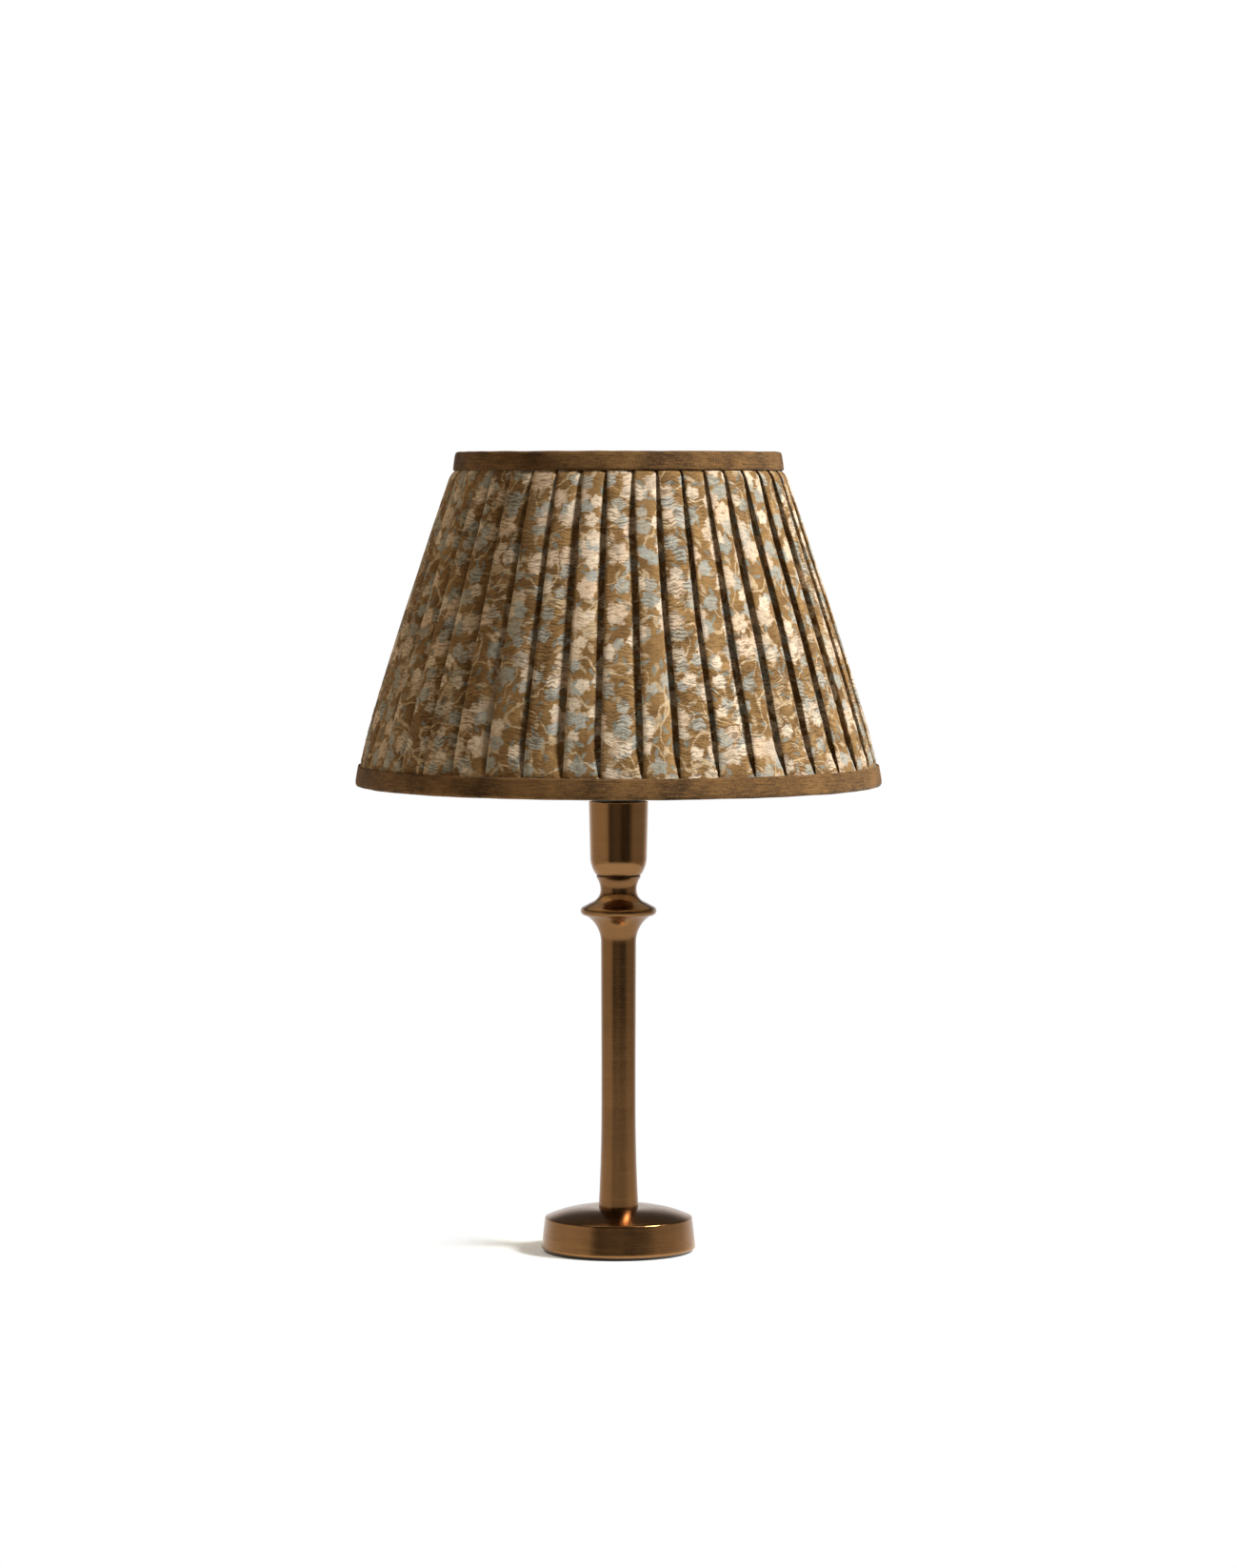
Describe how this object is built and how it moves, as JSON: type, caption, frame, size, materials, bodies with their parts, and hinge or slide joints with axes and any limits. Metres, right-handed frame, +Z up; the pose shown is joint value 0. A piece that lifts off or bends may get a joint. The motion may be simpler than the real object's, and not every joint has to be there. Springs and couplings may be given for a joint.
{
  "type": "table lamp",
  "caption": "Candlestick table lamp with a slim bronzed column and drip pan on a round foot, and a knife-pleated cloth shade that lifts off.",
  "frame": {"origin": "centre of the felt pad's underside, on the lamp's axis", "axes": "+Z up along the column; +Y towards the back, where the cord's inlet is; +X to the right seen from the front"},
  "size_m": [0.3, 0.3, 0.4563],
  "materials": {
    "felt": "pressed felt",
    "bronzed_foot": "satin antique bronze, brushed and lacquered",
    "bush": "moulded",
    "rod": "zinc plated thread",
    "washers": "zinc plated",
    "bronzed_column": "satin antique bronze, brushed and lacquered",
    "bronzed_pan": "satin antique bronze, turned and lacquered",
    "dark_washer": "darkened",
    "bronzed_cup": "satin antique bronze, brushed and lacquered",
    "holder_black": "moulded",
    "porcelain": "glazed",
    "shell_brass": "rolled thread",
    "bulb_solder": "soldered",
    "bulb_black_glass": "fused glass",
    "bulb_metal": "rolled thread",
    "bulb_clear": "clear",
    "bulb_inner_glass": "clear",
    "filament": "phosphor coated",
    "ring_black": "moulded, knurled",
    "frame_white": "powder coated white",
    "lining_cloth": "plain woven cloth",
    "cover_cloth": "printed cloth, knife pleated",
    "binding_cloth": "plain slubby bias binding"
  },
  "bodies": {
    "stand": {"felt_pad": "felt", "foot": "bronzed_foot", "inlet_bush": "bush", "threaded_rod": "rod", "foot_washer": "washers", "foot_nut": "washers", "column": "bronzed_column", "drip_pan": "bronzed_pan", "cup_washer": "dark_washer", "candle_cup": "bronzed_cup", "cup_nut": "washers", "holder_cap": "holder_black", "holder_skirt": "holder_black", "holder_insert": "porcelain", "screw_shell": "shell_brass", "centre_contact": "shell_brass", "terminal_screws": "washers"},
    "support": {"support_ring": "ring_black"},
    "shade": {"carrier_ring": "frame_white", "spider_arms": "frame_white", "bottom_ring": "frame_white", "top_ring": "frame_white", "frame_struts": "frame_white", "lining": "lining_cloth", "pleated_cover": "cover_cloth", "top_trim": "binding_cloth", "bottom_trim": "binding_cloth"},
    "clamp": {"clamp_ring": "ring_black"},
    "bulb": {"bulb_tip": "bulb_solder", "bulb_insulator": "bulb_black_glass", "bulb_cap": "bulb_metal", "bulb_glass": "bulb_clear", "bulb_stem": "bulb_inner_glass", "filaments": "filament"}
  },
  "joints": [
    {"name": "shade_turn", "type": "hinge", "parent": "stand", "child": "support", "pos_m": [0, 0, 0.2658], "axis": [0, 0, 1], "continuous": true},
    {"name": "shade_lift", "type": "slide", "parent": "support", "child": "shade", "axis": [0, 0, 1], "range_m": [0, 0.12]},
    {"name": "clamp_lift", "type": "slide", "parent": "shade", "child": "clamp", "axis": [0, 0, 1], "range_m": [0, 0.1]},
    {"name": "bulb_lift", "type": "slide", "parent": "stand", "child": "bulb", "axis": [0, 0, 1], "range_m": [0, 0.1]}
  ]
}
